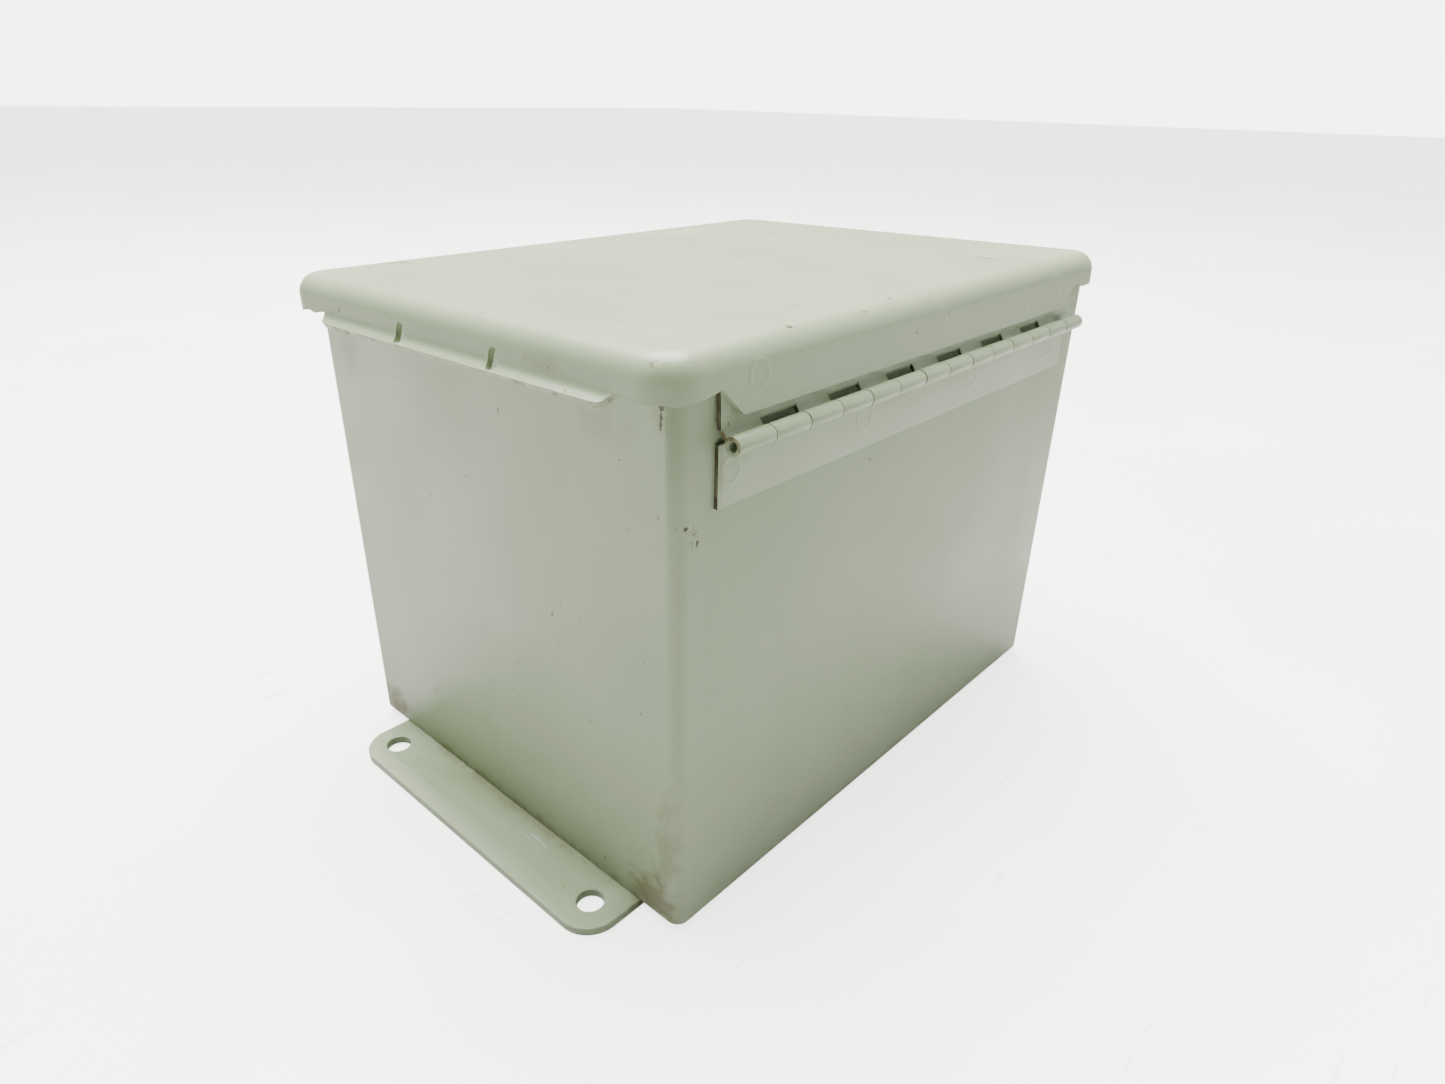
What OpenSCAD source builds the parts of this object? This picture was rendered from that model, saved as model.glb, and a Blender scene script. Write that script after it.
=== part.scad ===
// Clamp-cover steel enclosure on mounting feet, holding a pull-out disconnect.
// The box lies on its back: +Z points out of the cover, the hinge is on the +X side,
// and the origin is on the mounting plane, in the middle of the four foot holes.

/* [Body] */
// Width of the body across X
body_w = 152.4; // [140:0.1:200]
// Length of the body along Y
body_l = 203.2; // [195:0.1:260]
// Depth of the body from its back face to its rim
body_d = 152.4; // [140:0.1:160]
// Thickness of the sheet steel in the body and the cover
sheet = 1.6; // [1.5:0.1:1.7]
// Outside radius of the upright corners
corner_r = 3.8; // [3:0.1:6]
// Width of the rolled lip round three sides of the rim
rim_lip = 2.2; // [1.6:0.1:2.4]

/* [Mounting feet] */
// Thickness of the foot plates
foot_t = 2.7; // [2.5:0.1:3]
// Hole spacing across X
foot_hole_x = 101.6; // [90:0.1:110]
// Hole spacing along Y
foot_hole_y = 222.25; // [222:0.05:240]
// Diameter of the foot holes
foot_hole_d = 7.94; // [6:0.01:9]
// Radius of the foot's ends, round the hole centres
foot_end_r = 10; // [9:0.1:14]

/* [Cover] */
// How far the cover overhangs the body at each end
end_overhang = 5; // [4.8:0.1:7]
// How far the cover overhangs the body on the latch side
latch_overhang = 8; // [7.8:0.1:8.2]
// Height of the cover's outside face above its rim skirt
skirt_h = 9; // [8.6:0.1:9.4]
// Radius of the cover's top edges
cover_edge_r = 6; // [5:0.5:6]
// Radius of the cover's plan corners
cover_corner_r = 10; // [10:0.5:12]
// How far the closed cover slopes down towards the latch side, in degrees
cover_droop = 1.45; // [1:0.05:1.5]
// Length of the turned-out lips on the ends
end_lip_l = 124; // [100:1:126]
// Length of the turned-out lip on the latch side
latch_lip_l = 170; // [150:1:176]
// Diameter of the two holes in each end lip
lip_hole_d = 4.8; // [4:0.1:5]
// Spacing of the two holes in each end lip
lip_hole_gap = 41.3; // [38:0.1:50]

/* [Hinge] */
// Distance of the pin's axis from the body's side
hinge_out = 4.9; // [4.8:0.1:5]
// Height of the pin's axis above the mounting plane
hinge_z = 141; // [140.5:0.1:141.2]
// Number of knuckles
knuckles = 14; // [10:2:14]
// Length of one knuckle
knuckle_l = 12.7; // [12:0.1:12.7]
// Outside radius of the knuckles
knuckle_r = 2.3; // [2.2:0.05:2.4]
// Radius of the hinge pin
pin_r = 1.19; // [1.1:0.01:1.2]
// Thickness of the hinge leaves
leaf_t = 1.1; // [1:0.05:1.1]
// Depth of each leaf from the pin's axis to its free edge
leaf_h = 15.9; // [14:0.1:16]
// Offset of the whole hinge towards the near end
hinge_shift = 1; // [0:0.5:2]

/* [Latch clamps] */
// Distance of each clamp from the middle of the latch side
clamp_y = 50; // [40:1:60]
// Width of the clamp plates
clamp_w = 12; // [10:1:12]
// Radius of the clamp screws
clamp_screw_r = 2.4; // [2.2:0.1:2.6]

/* [Back panel] */
// Width of the back panel
panel_w = 123.8; // [120:0.1:126]
// Length of the back panel
panel_l = 171.5; // [168:0.1:176]
// Height of the collars that hold the panel off the back
collar_h = 6.4; // [6:0.1:9]

/* [Disconnect] */
// Width of the moulded base
base_w = 76; // [72:1:80]
// Length of the moulded base
base_l = 104; // [104:1:110]
// Height of the jaw housing above the panel
housing_h = 39.4; // [39:0.1:42]
// Half the distance between the two poles
pole_x = 18; // [17:0.5:19]
// Thickness of the pull-out blades
blade_t = 2; // [1.8:0.1:2.2]

/* [Hidden] */
$fn = 48;

paint = [0.62, 0.66, 0.58];
zinc = [0.72, 0.73, 0.74];
copper = [0.80, 0.52, 0.34];
aluminium = [0.80, 0.81, 0.82];
phenolic = [0.13, 0.13, 0.14];
sponge = [0.22, 0.22, 0.23];
white_paint = [0.90, 0.91, 0.89];
ground_green = [0.16, 0.48, 0.26];

slip = 0.05;                                 // radial clearance of a running fit
back_z = foot_t;                             // outside face of the back
floor_z = back_z + sheet;                    // inside face of the back
rim_z = back_z + body_d;                     // rim of the body
side_x = body_w / 2;
end_y = body_l / 2;

hinge_x = side_x + hinge_out;
hinge_y0 = -knuckles * knuckle_l / 2 - hinge_shift;
hinge_y1 = hinge_y0 + knuckles * knuckle_l;
close_gap = 0.2;                             // gap after the odd knuckles
open_gap = 0.5;                              // gap after the even knuckles
bore_r = pin_r + slip;
wall_r = (knuckle_r + bore_r) / 2;           // middle of a knuckle's wall

cover_leaf_x = side_x + 0.7;                 // inside face of the cover's leaf
flange_x = cover_leaf_x + leaf_t;            // inside face of the cover's hinge flange
cover_x1 = flange_x + sheet;
cover_x0 = -side_x - latch_overhang;
cover_w = cover_x1 - cover_x0;
cover_cx = (cover_x0 + cover_x1) / 2;
cover_y = end_y + end_overhang;
cover_z = rim_z + 7.3;                       // outside face of the cover
skirt_z = cover_z - skirt_h;
inner_z = cover_z - sheet;
flange_low_z = hinge_z + 5.6;                // lower edge of the hinge flange
flange_bevel = skirt_z - flange_low_z;
flange_y0 = hinge_y0 - 1;
flange_y1 = hinge_y1 - 2;

lip_bend_r = 2;                              // inside radius of the turned-out lips
lip_angle = 60;
lip_tail = 1.7;
lip_hole_z = skirt_z - 0.8;

clamp_x = -side_x - 17.8;                    // axis of the clamp screws
shelf_z = 140;                               // top of the clamp brackets
clamp_z = 147.9;                             // underside of the clamp plates' hook
clamp_t = 2.4;
hook_r = 8.9;                                // reach of the hook from the screw's axis

panel_z = floor_z + collar_h;
panel_t = 1.9;
deck_z = panel_z + panel_t;                  // top face of the panel
stud_x = panel_w / 2 - 6.4;
stud_y = panel_l / 2 - 6.4;
stud_r = 2.4;
nut_r = 5.5;
nut_h = 3.2;

slab_z = deck_z + 7.4;                       // top of the base's floor
housing_z = deck_z + housing_h;              // top of the jaw housing
housing_l = 54;
pocket_y0 = 8;
pocket_y1 = 22;
pocket_w = 12;
strap_t = 1.6;
strap_z = slab_z + strap_t;
lug_y0 = 31;
lug_y1 = 47;
lug_h = 14;
wire_r = 4.3;                                // wire hole of a lug
wire_z = strap_z + 6.4;
lug_screw_r = 3.9;
base_screw_x = 29;
head_z = housing_z + 0.3;                    // underside of the pull-out head
head_h = 14;
jaw_leaf_t = 1.1;
blade_y0 = 10;
blade_y1 = 20;

ground_x = -50;
bar_w = 9;
bar_l = 62;
bar_h = 8;
wire_screw_ys = [-18, -6, 6, 18];
bar_fixing_y = 26.5;
bonding_x = 50;
bonding_y = -40;
cover_stud_x = -58;
cover_stud_y = 84;

// ---- shared shapes ----

// Rectangle with round corners, centred
module rounded_rect(w, l, r) {
    square([w - 2 * r, l], center = true);
    square([w, l - 2 * r], center = true);
    for (x = [-1, 1], y = [-1, 1])
        translate([x * (w / 2 - r), y * (l / 2 - r)]) circle(r);
}

// Block hanging down from z = 0 with round upright corners and a round top edge
module lid_block(w, l, h, rc, rb) {
    translate([0, 0, -h]) linear_extrude(h - rb) rounded_rect(w, l, rc);
    translate([0, 0, -2 * rb]) linear_extrude(2 * rb) rounded_rect(w - 2 * rb, l - 2 * rb, rc - rb);
    for (s = [-1, 1]) {
        translate([s * (w / 2 - rb), 0, -rb])
            rotate([90, 0, 0]) cylinder(r = rb, h = l - 2 * rc, center = true);
        translate([0, s * (l / 2 - rb), -rb])
            rotate([0, 90, 0]) cylinder(r = rb, h = w - 2 * rc, center = true);
    }
    for (x = [-1, 1], y = [-1, 1])
        translate([x * (w / 2 - rc), y * (l / 2 - rc), -rb])
            rotate_extrude() intersection() {
                translate([rc - rb, 0]) circle(rb);
                translate([0, -rb]) square([rc, 2 * rb]);
            }
}

// Box from its low corner to its high corner
module span(low, high) {
    translate(low) cube(high - low);
}

// Pan head screw: underside of the head at z = 0, shank downwards
module pan_screw(r, length, head_r, head_h) {
    difference() {
        union() {
            translate([0, 0, -length]) cylinder(r = r, h = length + head_h / 2);
            cylinder(r = head_r, h = head_h);
        }
        translate([0, 0, head_h]) cube([head_r * 3, head_r * 0.28, head_h], center = true);
    }
}

module hex_nut(hole_r) {
    difference() {
        cylinder(r = nut_r, h = nut_h, $fn = 6);
        translate([0, 0, -1]) cylinder(r = hole_r, h = nut_h + 2);
    }
}

// Turns the cover's parts about the hinge pin into their resting place
module on_cover() {
    translate([hinge_x, 0, hinge_z]) rotate([0, -cover_droop, 0])
        translate([-hinge_x, 0, -hinge_z]) children();
}

// ---- body ----

module rim_bead(length) {
    bead_r = 1.2;
    translate([0, 0, rim_z - bead_r]) {
        span([-length / 2, -sheet / 2, -bead_r], [length / 2, rim_lip - bead_r, bead_r]);
        translate([0, rim_lip - bead_r, 0]) rotate([0, 90, 0])
            cylinder(r = bead_r, h = length, center = true);
    }
}

module body_shell() {
    color(paint) difference() {
        union() {
            translate([0, 0, back_z]) linear_extrude(body_d) rounded_rect(body_w, body_l, corner_r);
            for (s = [0, 180])
                rotate([0, 0, s]) translate([0, end_y, 0]) rim_bead(body_w - 2 * corner_r);
            rotate([0, 0, 90]) translate([0, side_x, 0]) rim_bead(body_l - 2 * corner_r);
        }
        translate([0, 0, floor_z]) linear_extrude(body_d)
            rounded_rect(body_w - 2 * sheet, body_l - 2 * sheet, corner_r - sheet);
    }
}

// Foot plate at the -Y end
module foot() {
    tongue = 20;                             // how far the foot reaches under the body
    half_x = foot_hole_x / 2;
    hole_y = -foot_hole_y / 2;
    inner_y = tongue - end_y;
    color(paint) linear_extrude(foot_t) difference() {
        union() {
            translate([-half_x, hole_y - foot_end_r])
                square([2 * half_x, inner_y - hole_y + foot_end_r]);
            translate([-half_x - foot_end_r, hole_y])
                square([2 * (half_x + foot_end_r), inner_y - hole_y]);
            for (s = [-1, 1]) translate([s * half_x, hole_y]) circle(foot_end_r);
        }
        for (s = [-1, 1]) translate([s * half_x, hole_y]) circle(d = foot_hole_d);
    }
}

module near_foot() { foot(); }
module far_foot() { mirror([0, 1, 0]) foot(); }

module clamp_bracket() {
    leg_z = 16;
    difference() {
        union() {
            span([-side_x - clamp_t, -10, shelf_z - leg_z], [-side_x, 10, shelf_z]);
            span([clamp_x - 10, -10, shelf_z - clamp_t], [-side_x, 10, shelf_z]);
        }
        translate([clamp_x, 0, shelf_z - 2 * clamp_t])
            cylinder(r = clamp_screw_r + slip, h = 3 * clamp_t);
    }
}

module clamp_brackets() {
    color(paint) for (s = [-1, 1]) translate([0, s * clamp_y, 0]) clamp_bracket();
}

// ---- hinge ----

// One knuckle with the strip of leaf that reaches it; way is -1 for the body's leaf, 1 for the cover's
module knuckle(i, leaf_x, root_z, way) {
    low = hinge_y0 + (i - 1) * knuckle_l + (i % 2 == 1 ? open_gap : close_gap) / 2;
    high = hinge_y0 + i * knuckle_l - (i % 2 == 1 ? close_gap : open_gap) / 2;
    leaf_mid = leaf_x + leaf_t / 2;
    touch_x = hinge_x - wall_r * cos(20);
    touch_z = hinge_z + way * wall_r * sin(20);
    run = touch_x - leaf_mid;
    rise = touch_z - root_z;
    translate([hinge_x, high, hinge_z]) rotate([90, 0, 0]) cylinder(r = knuckle_r, h = high - low);
    translate([leaf_mid, high, root_z]) rotate([90, 0, 0]) linear_extrude(high - low) {
        rotate(atan2(rise, run)) translate([0, -leaf_t / 2]) square([norm([run, rise]), leaf_t]);
        circle(leaf_t / 2);
    }
}

module pin_bore() {
    translate([hinge_x, hinge_y0 - 1, hinge_z]) rotate([-90, 0, 0])
        cylinder(r = bore_r, h = hinge_y1 - hinge_y0 + 2);
}

module body_hinge_leaf() {
    root_z = hinge_z - 3.5;
    color(paint) difference() {
        union() {
            span([side_x, hinge_y0, hinge_z - leaf_h], [side_x + leaf_t, hinge_y1, root_z]);
            for (i = [2:2:knuckles]) knuckle(i, side_x, root_z, -1);
            for (i = [1:2:knuckles])
                span([side_x, hinge_y0 + (i - 1) * knuckle_l, root_z - 1],
                     [side_x + leaf_t, hinge_y0 + i * knuckle_l, hinge_z - 0.6]);
        }
        pin_bore();
    }
}

module cover_hinge_leaf() {
    window_z = hinge_z + 2.9;
    color(paint) on_cover() difference() {
        union() {
            span([cover_leaf_x, hinge_y0, window_z],
                 [cover_leaf_x + leaf_t, hinge_y1, hinge_z + leaf_h - 0.4]);
            for (i = [1:2:knuckles]) knuckle(i, cover_leaf_x, hinge_z + 3.6, 1);
        }
        pin_bore();
    }
}

module hinge_pin() {
    near_recess = 3;
    far_recess = 1;
    color(zinc) translate([hinge_x, hinge_y0 + near_recess, hinge_z]) rotate([-90, 0, 0])
        cylinder(r = pin_r, h = hinge_y1 - hinge_y0 - near_recess - far_recess);
}

// ---- cover ----

// Section of a turned-out lip: +X is outwards, and the flange above ends at y = 0
module lip_section() {
    bend = [180:15:180 + lip_angle];
    function on_arc(r, a) = [lip_bend_r + r * cos(a), r * sin(a)];
    tail = lip_tail * [sin(lip_angle), -cos(lip_angle)];
    outer = [for (a = bend) on_arc(lip_bend_r + sheet, a)];
    inner = [for (a = bend) on_arc(lip_bend_r, a)];
    last = len(outer) - 1;
    polygon(concat([[0, 0.6], [-sheet, 0.6]], outer, [outer[last] + tail, inner[last] + tail],
                   [for (i = [last:-1:0]) inner[i]]));
}

module lip(length) {
    rotate([90, 0, 0]) linear_extrude(length, center = true) lip_section();
}

// Section of the pan's edge: +X is outwards from the corner's centre, and the outside face is at y = 0
module pan_section() {
    flat = cover_corner_r - cover_edge_r;
    translate([0, -sheet]) square([flat, sheet]);
    translate([flat, -cover_edge_r]) intersection() {
        difference() {
            circle(cover_edge_r);
            circle(cover_edge_r - sheet);
        }
        square(cover_edge_r);
    }
    translate([cover_corner_r - sheet, -skirt_h]) square([sheet, skirt_h - cover_edge_r]);
}

// Pan with its outside face up at z = 0: a flat top, four edges and four corners
module pan() {
    run_x = cover_w - 2 * cover_corner_r;
    run_y = 2 * (cover_y - cover_corner_r);
    translate([0, 0, -sheet / 2]) cube([run_x, run_y, sheet], center = true);
    for (turn = [0, 180]) rotate([0, 0, turn]) {
        translate([run_x / 2, 0, 0]) rotate([90, 0, 0])
            linear_extrude(run_y, center = true) pan_section();
        translate([0, run_y / 2, 0]) rotate([90, 0, 90])
            linear_extrude(run_x, center = true) pan_section();
        translate([run_x / 2, run_y / 2, 0]) rotate_extrude(angle = 90) pan_section();
        translate([-run_x / 2, run_y / 2, 0]) rotate([0, 0, 90]) rotate_extrude(angle = 90) pan_section();
    }
}

module hinge_flange() {
    translate([flange_x, 0, 0]) rotate([90, 0, 90]) linear_extrude(sheet)
        polygon([[flange_y0, skirt_z + 0.5], [flange_y0, skirt_z],
                 [flange_y0 + flange_bevel, flange_low_z],
                 [flange_y1 - flange_bevel, flange_low_z],
                 [flange_y1, skirt_z], [flange_y1, skirt_z + 0.5]]);
}

module cover_pan() {
    color(paint) on_cover() difference() {
        union() {
            translate([cover_cx, 0, cover_z]) pan();
            translate([0, -cover_y, skirt_z]) rotate([0, 0, -90]) lip(end_lip_l);
            translate([0, cover_y, skirt_z]) rotate([0, 0, 90]) lip(end_lip_l);
            translate([cover_x0, 0, skirt_z]) rotate([0, 0, 180]) lip(latch_lip_l);
            hinge_flange();
        }
        for (s = [-1, 1]) translate([s * lip_hole_gap / 2, 0, lip_hole_z])
            rotate([90, 0, 0]) cylinder(d = lip_hole_d, h = 3 * cover_y, center = true);
    }
}

module cover_gasket() {
    fit_gap = 0.05;
    strip_x0 = -side_x - 2.8;
    strip_x1 = side_x + 0.2;
    strip_y = end_y + 2.4;
    hole_x = side_x - 9.7;
    hole_y = end_y - 9.6;
    color(sponge) difference() {
        on_cover() intersection() {
            translate([cover_cx, 0, inner_z - fit_gap])
                lid_block(cover_w - 2 * (sheet + fit_gap), 2 * (cover_y - sheet - fit_gap), 12,
                          cover_corner_r - sheet - fit_gap, cover_edge_r - sheet);
            difference() {
                span([strip_x0, -strip_y, rim_z - 5], [strip_x1, strip_y, inner_z]);
                span([-hole_x, -hole_y, rim_z - 8], [hole_x, hole_y, inner_z + 3]);
            }
        }
        span([-2 * side_x, -2 * end_y, 0], [2 * side_x, 2 * end_y, rim_z + fit_gap]);
    }
}

module cover_bonding_stud() {
    color(zinc) on_cover() translate([cover_stud_x, cover_stud_y, inner_z - 12])
        cylinder(r = stud_r, h = 12);
}

module cover_bonding_nut() {
    color(zinc) on_cover() translate([cover_stud_x, cover_stud_y, inner_z - nut_h - 1])
        hex_nut(stud_r + slip);
}

// ---- latch clamps ----

// Clamp plate swung clear: its hook points to -Y, and a quarter turn brings it over the lip
module clamp_plate() {
    heel_out = 8;
    color(zinc) rotate([0, 0, -90]) difference() {
        union() {
            translate([0, 0, clamp_z]) linear_extrude(clamp_t) intersection() {
                translate([-heel_out, -clamp_w / 2]) square([heel_out + hook_r, clamp_w]);
                union() {
                    circle(hook_r);
                    translate([-heel_out, -clamp_w / 2]) square([heel_out, clamp_w]);
                }
            }
            span([-heel_out, -clamp_w / 2, shelf_z + 0.3], [clamp_t - heel_out, clamp_w / 2, clamp_z + 1]);
        }
        translate([0, 0, clamp_z - 1]) cylinder(r = clamp_screw_r + slip, h = clamp_t + 2);
    }
}

module near_clamp_plate() { translate([clamp_x, -clamp_y, 0]) clamp_plate(); }
module far_clamp_plate() { translate([clamp_x, clamp_y, 0]) clamp_plate(); }

module clamp_screw() {
    color(zinc) translate([0, 0, clamp_z + clamp_t + 0.3]) pan_screw(clamp_screw_r, 18, 4.6, 3);
}

module near_clamp_screw() { translate([clamp_x, -clamp_y, 0]) clamp_screw(); }
module far_clamp_screw() { translate([clamp_x, clamp_y, 0]) clamp_screw(); }

// ---- back panel ----

module each_panel_corner() {
    for (x = [-1, 1], y = [-1, 1]) translate([x * stud_x, y * stud_y, 0]) children();
}

module collar_studs() {
    color(zinc) each_panel_corner() {
        translate([0, 0, floor_z]) cylinder(r = 5.5, h = collar_h);
        translate([0, 0, panel_z - 1]) cylinder(r = stud_r, h = 12.3);
    }
}

module back_panel() {
    color(white_paint) translate([0, 0, panel_z]) linear_extrude(panel_t) difference() {
        rounded_rect(panel_w, panel_l, 3);
        each_panel_corner() circle(stud_r + 0.4);
        for (s = [-1, 1]) translate([s * base_screw_x, 0]) circle(stud_r + slip);
        for (s = [-1, 1]) translate([ground_x, s * bar_fixing_y]) circle(1.6 + slip);
    }
}

module panel_nuts() {
    color(zinc) each_panel_corner() translate([0, 0, deck_z]) hex_nut(stud_r + slip);
}

module panel_bonding_stud() {
    color(zinc) translate([bonding_x, bonding_y, deck_z]) cylinder(r = stud_r, h = 14);
}

module panel_bonding_nut() {
    color(zinc) translate([bonding_x, bonding_y, deck_z + 1]) hex_nut(stud_r + slip);
}

// ---- disconnect ----

// Places its children at both poles, for the end that way points to (1 line, -1 load)
module each_pole(way) {
    for (x = [-1, 1]) translate([x * pole_x, 0, 0]) facing_y(way) children();
}

module facing_y(way) {
    if (way < 0) mirror([0, 1, 0]) children();
    else children();
}

module disconnect_base() {
    wall = 3;
    wall_z = deck_z + 31;
    color(phenolic) difference() {
        union() {
            translate([0, 0, deck_z]) linear_extrude(slab_z - deck_z) rounded_rect(base_w, base_l, 3);
            translate([0, 0, deck_z]) linear_extrude(housing_h) rounded_rect(base_w, housing_l, 2);
            for (x = [-1, 0, 1]) translate([x * (base_w - wall) / 2, 0, 0])
                span([-wall / 2, -base_l / 2 + 3, deck_z], [wall / 2, base_l / 2 - 3, wall_z]);
        }
        for (way = [-1, 1]) each_pole(way) {
            span([-pocket_w / 2, pocket_y0, slab_z], [pocket_w / 2, pocket_y1, housing_z + 1]);
            span([-pocket_w / 2, pocket_y1 - 1, slab_z], [pocket_w / 2, housing_l / 2 + 1, slab_z + 3]);
        }
        for (s = [-1, 1]) translate([s * base_screw_x, 0, deck_z]) {
            translate([0, 0, -1]) cylinder(r = stud_r + slip, h = housing_h + 2);
            translate([0, 0, 12]) cylinder(r = 5.2, h = housing_h);
        }
    }
}

module base_screws() {
    color(zinc) for (s = [-1, 1]) translate([s * base_screw_x, 0, deck_z + 12])
        pan_screw(stud_r, 16, 4.6, 3);
}

// Jaw: a strap that runs out under the lug, and two spring leaves that grip the blade
module jaw() {
    half_strap = 5;
    leaf_x = blade_t / 2 + 0.1;
    span([-half_strap, pocket_y0 + 0.5, slab_z], [half_strap, lug_y1, strap_z]);
    for (s = [-1, 1]) facing_x(s)
        span([leaf_x, blade_y0, strap_z - 0.5], [leaf_x + jaw_leaf_t, blade_y1, housing_z - 6]);
}

module facing_x(way) {
    if (way < 0) mirror([1, 0, 0]) children();
    else children();
}

module line_jaws() { color(copper) each_pole(1) jaw(); }
module load_jaws() { color(copper) each_pole(-1) jaw(); }

module wire_lug() {
    mid_y = (lug_y0 + lug_y1) / 2;
    difference() {
        span([-7, lug_y0, strap_z], [7, lug_y1, strap_z + lug_h]);
        translate([0, lug_y0 - 1, wire_z]) rotate([-90, 0, 0])
            cylinder(r = wire_r, h = lug_y1 - lug_y0 + 2);
        translate([0, mid_y, wire_z]) cylinder(r = lug_screw_r + slip, h = lug_h);
    }
}

module line_lugs() { color(aluminium) each_pole(1) wire_lug(); }
module load_lugs() { color(aluminium) each_pole(-1) wire_lug(); }

module lug_screw() {
    mid_y = (lug_y0 + lug_y1) / 2;
    translate([0, mid_y, wire_z + wire_r]) difference() {
        cylinder(r = lug_screw_r, h = 8);
        translate([0, 0, 4]) cylinder(r = 2.2, h = 5, $fn = 6);
    }
}

module line_lug_screws() { color(aluminium) each_pole(1) lug_screw(); }
module load_lug_screws() { color(aluminium) each_pole(-1) lug_screw(); }

module pullout_head() {
    stem_z = head_z + head_h;
    color(phenolic) difference() {
        union() {
            translate([0, 0, head_z]) linear_extrude(head_h) rounded_rect(base_w - 4, housing_l - 4, 4);
            translate([0, 0, stem_z - 1]) linear_extrude(15) rounded_rect(40, 10, 3);
            translate([0, 0, stem_z + 13]) linear_extrude(10) rounded_rect(58, 20, 6);
        }
        for (s = [-1, 1]) translate([s * pole_x, 0, 0])
            span([-blade_t / 2 - slip, -blade_y1 - slip, head_z - 1],
                 [blade_t / 2 + slip, blade_y1 + slip, head_z + 6 + slip]);
    }
}

module pullout_blades() {
    tip_z = slab_z + 8;
    color(copper) for (s = [-1, 1]) translate([s * pole_x, 0, 0]) {
        span([-blade_t / 2, -blade_y1, head_z + 0.2], [blade_t / 2, blade_y1, head_z + 6]);
        for (way = [-1, 1]) facing_y(way)
            span([-blade_t / 2, blade_y0, tip_z], [blade_t / 2, blade_y1, head_z + 1]);
    }
}

// ---- ground bar ----

module ground_bar() {
    color(aluminium) difference() {
        span([ground_x - bar_w / 2, -bar_l / 2, deck_z], [ground_x + bar_w / 2, bar_l / 2, deck_z + bar_h]);
        for (y = wire_screw_ys) translate([ground_x, y, deck_z + 3.2]) {
            rotate([0, 90, 0]) cylinder(r = 2.2, h = bar_w + 2, center = true);
            cylinder(r = 2 + slip, h = bar_h);
        }
        for (s = [-1, 1]) translate([ground_x, s * bar_fixing_y, deck_z - 1])
            cylinder(r = 1.6 + slip, h = bar_h + 2);
    }
}

module ground_wire_screws() {
    color(ground_green) for (y = wire_screw_ys) translate([ground_x, y, deck_z + bar_h + 0.6])
        pan_screw(2, 3.6, 3.4, 2.2);
}

module ground_fixing_screws() {
    color(zinc) for (s = [-1, 1]) translate([ground_x, s * bar_fixing_y, deck_z + bar_h])
        pan_screw(1.6, bar_h + 4, 3, 2);
}

body_shell();
near_foot();
far_foot();
body_hinge_leaf();
clamp_brackets();
collar_studs();
back_panel();
panel_nuts();
disconnect_base();
base_screws();
line_jaws();
load_jaws();
line_lugs();
load_lugs();
line_lug_screws();
load_lug_screws();
ground_bar();
ground_wire_screws();
ground_fixing_screws();
panel_bonding_stud();
panel_bonding_nut();
cover_pan();
cover_hinge_leaf();
cover_gasket();
cover_bonding_stud();
cover_bonding_nut();
hinge_pin();
pullout_head();
pullout_blades();
near_clamp_plate();
far_clamp_plate();
near_clamp_screw();
far_clamp_screw();
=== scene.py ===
"""Looks for a clamp-cover steel enclosure lying on its back, with a pull-out disconnect inside.

Lengths are written in millimetres and turned into metres by mm(). +Z points out of the cover,
the hinge is on the +X side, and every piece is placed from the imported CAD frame.
"""

import math

import bmesh
import bpy
from mathutils import Matrix, Vector, noise


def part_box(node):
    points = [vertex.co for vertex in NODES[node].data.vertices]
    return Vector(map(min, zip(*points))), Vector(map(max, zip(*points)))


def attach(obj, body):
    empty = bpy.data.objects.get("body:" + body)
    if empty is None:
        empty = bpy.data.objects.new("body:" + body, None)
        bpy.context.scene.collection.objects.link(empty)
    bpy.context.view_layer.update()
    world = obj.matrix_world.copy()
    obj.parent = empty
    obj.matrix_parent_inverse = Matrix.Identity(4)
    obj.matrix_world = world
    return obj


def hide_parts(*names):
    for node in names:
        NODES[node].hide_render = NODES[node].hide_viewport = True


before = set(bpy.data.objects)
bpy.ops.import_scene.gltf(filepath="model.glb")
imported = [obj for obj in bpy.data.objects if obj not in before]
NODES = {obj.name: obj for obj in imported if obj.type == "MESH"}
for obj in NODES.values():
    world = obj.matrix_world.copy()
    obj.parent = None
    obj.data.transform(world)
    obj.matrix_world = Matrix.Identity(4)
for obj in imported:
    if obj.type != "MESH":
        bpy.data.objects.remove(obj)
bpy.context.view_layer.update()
MM = 0.001


def mm(*values):
    """Millimetres to metres: one number, or a vector."""
    return values[0] * MM if len(values) == 1 else Vector(v * MM for v in values)


# ---------------------------------------------------------------- sizes

SHEET = 1.6  # steel of the body and the cover
DROOP = math.radians(1.45)  # the closed cover slopes down to the latch side
CORNER_R = 10.0  # cover's plan corners
EDGE_R = 6.0  # cover's top edges
SKIRT_H = 9.0  # outside face of the cover to the skirt's edge
LIP_R = 2.0  # inside radius of the turned-out lips
LIP_ANGLE = math.radians(60)
LIP_TAIL = 1.7
LIP_NOSE = 3.2  # round ends of the lips
CORNER_SAG = 1.1  # drawn corners hang this far below the skirts
END_LIP_L = 124.0  # lips on the two end skirts, and on the latch side
LATCH_LIP_L = 170.0
LIP_HOLE_R, LIP_HOLE_TALL = 2.2, 1.3  # radius along the lip, and how much taller the hole is
LIP_HOLE_GAP = 41.3
LIP_HOLE_DROP = 0.5  # hole's middle below the skirt's edge
CUTTER_L = 12.0  # long enough to pass right through the lip
LATCH_OVERHANG, HINGE_OVERHANG = 8.0, 3.4  # cover past the body's sides
COVER_RISE = 7.3  # outside face of the cover above the body's rim
FLANGE_ABOVE_PIN = 5.6

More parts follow.
